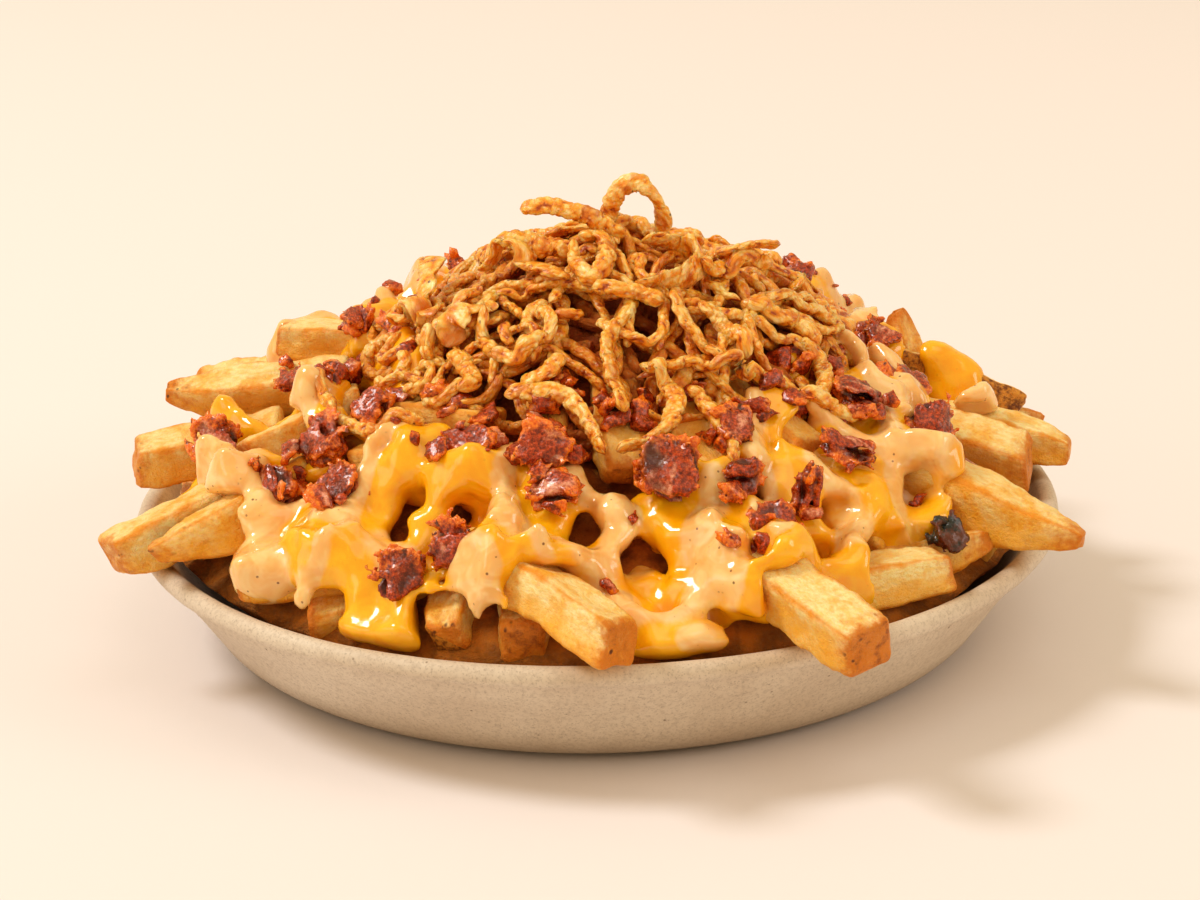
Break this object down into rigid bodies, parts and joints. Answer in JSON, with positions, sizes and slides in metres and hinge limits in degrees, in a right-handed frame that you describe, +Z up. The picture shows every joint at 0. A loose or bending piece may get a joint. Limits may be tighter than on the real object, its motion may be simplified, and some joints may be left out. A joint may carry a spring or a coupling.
{
  "type": "bowl of bacon loaded fries",
  "caption": "Shallow stoneware bowl heaped with thick-cut fries under cheese and spiced sauces, with bacon pieces and a pile of fried onion strings on top.",
  "frame": {"origin": "centre of the bowl's flat base, on the surface it stands on", "axes": "+Z up; -Y is the front, the side towards the camera in the picture; +X is to its right"},
  "size_m": [0.2273, 0.2395, 0.1073],
  "materials": {
    "stoneware": "beige-grey unglazed-looking stoneware with fine dark specks",
    "sauced_fries": "golden fries under glossy yellow cheese sauce and a paler tan sauce",
    "fried_onion": "golden brown crisp batter",
    "bacon": "dark red-brown, moist and crisp"
  },
  "bodies": {
    "root": {"bowl": "stoneware", "fries_heap": "sauced_fries", "onion_strings": "fried_onion", "bacon_01": "bacon", "bacon_02": "bacon", "bacon_03": "bacon", "bacon_04": "bacon", "bacon_05": "bacon", "bacon_06": "bacon", "bacon_07": "bacon", "bacon_08": "bacon", "bacon_09": "bacon", "bacon_10": "bacon", "bacon_11": "bacon", "bacon_12": "bacon", "bacon_13": "bacon", "bacon_14": "bacon", "bacon_15": "bacon", "bacon_16": "bacon", "bacon_17": "bacon", "bacon_18": "bacon", "bacon_19": "bacon", "bacon_20": "bacon", "bacon_21": "bacon", "bacon_22": "bacon", "bacon_23": "bacon", "bacon_24": "bacon", "bacon_25": "bacon", "bacon_26": "bacon", "bacon_27": "bacon", "bacon_28": "bacon", "bacon_29": "bacon", "bacon_30": "bacon", "bacon_31": "bacon", "bacon_32": "bacon", "bacon_33": "bacon"}
  },
  "joints": []
}
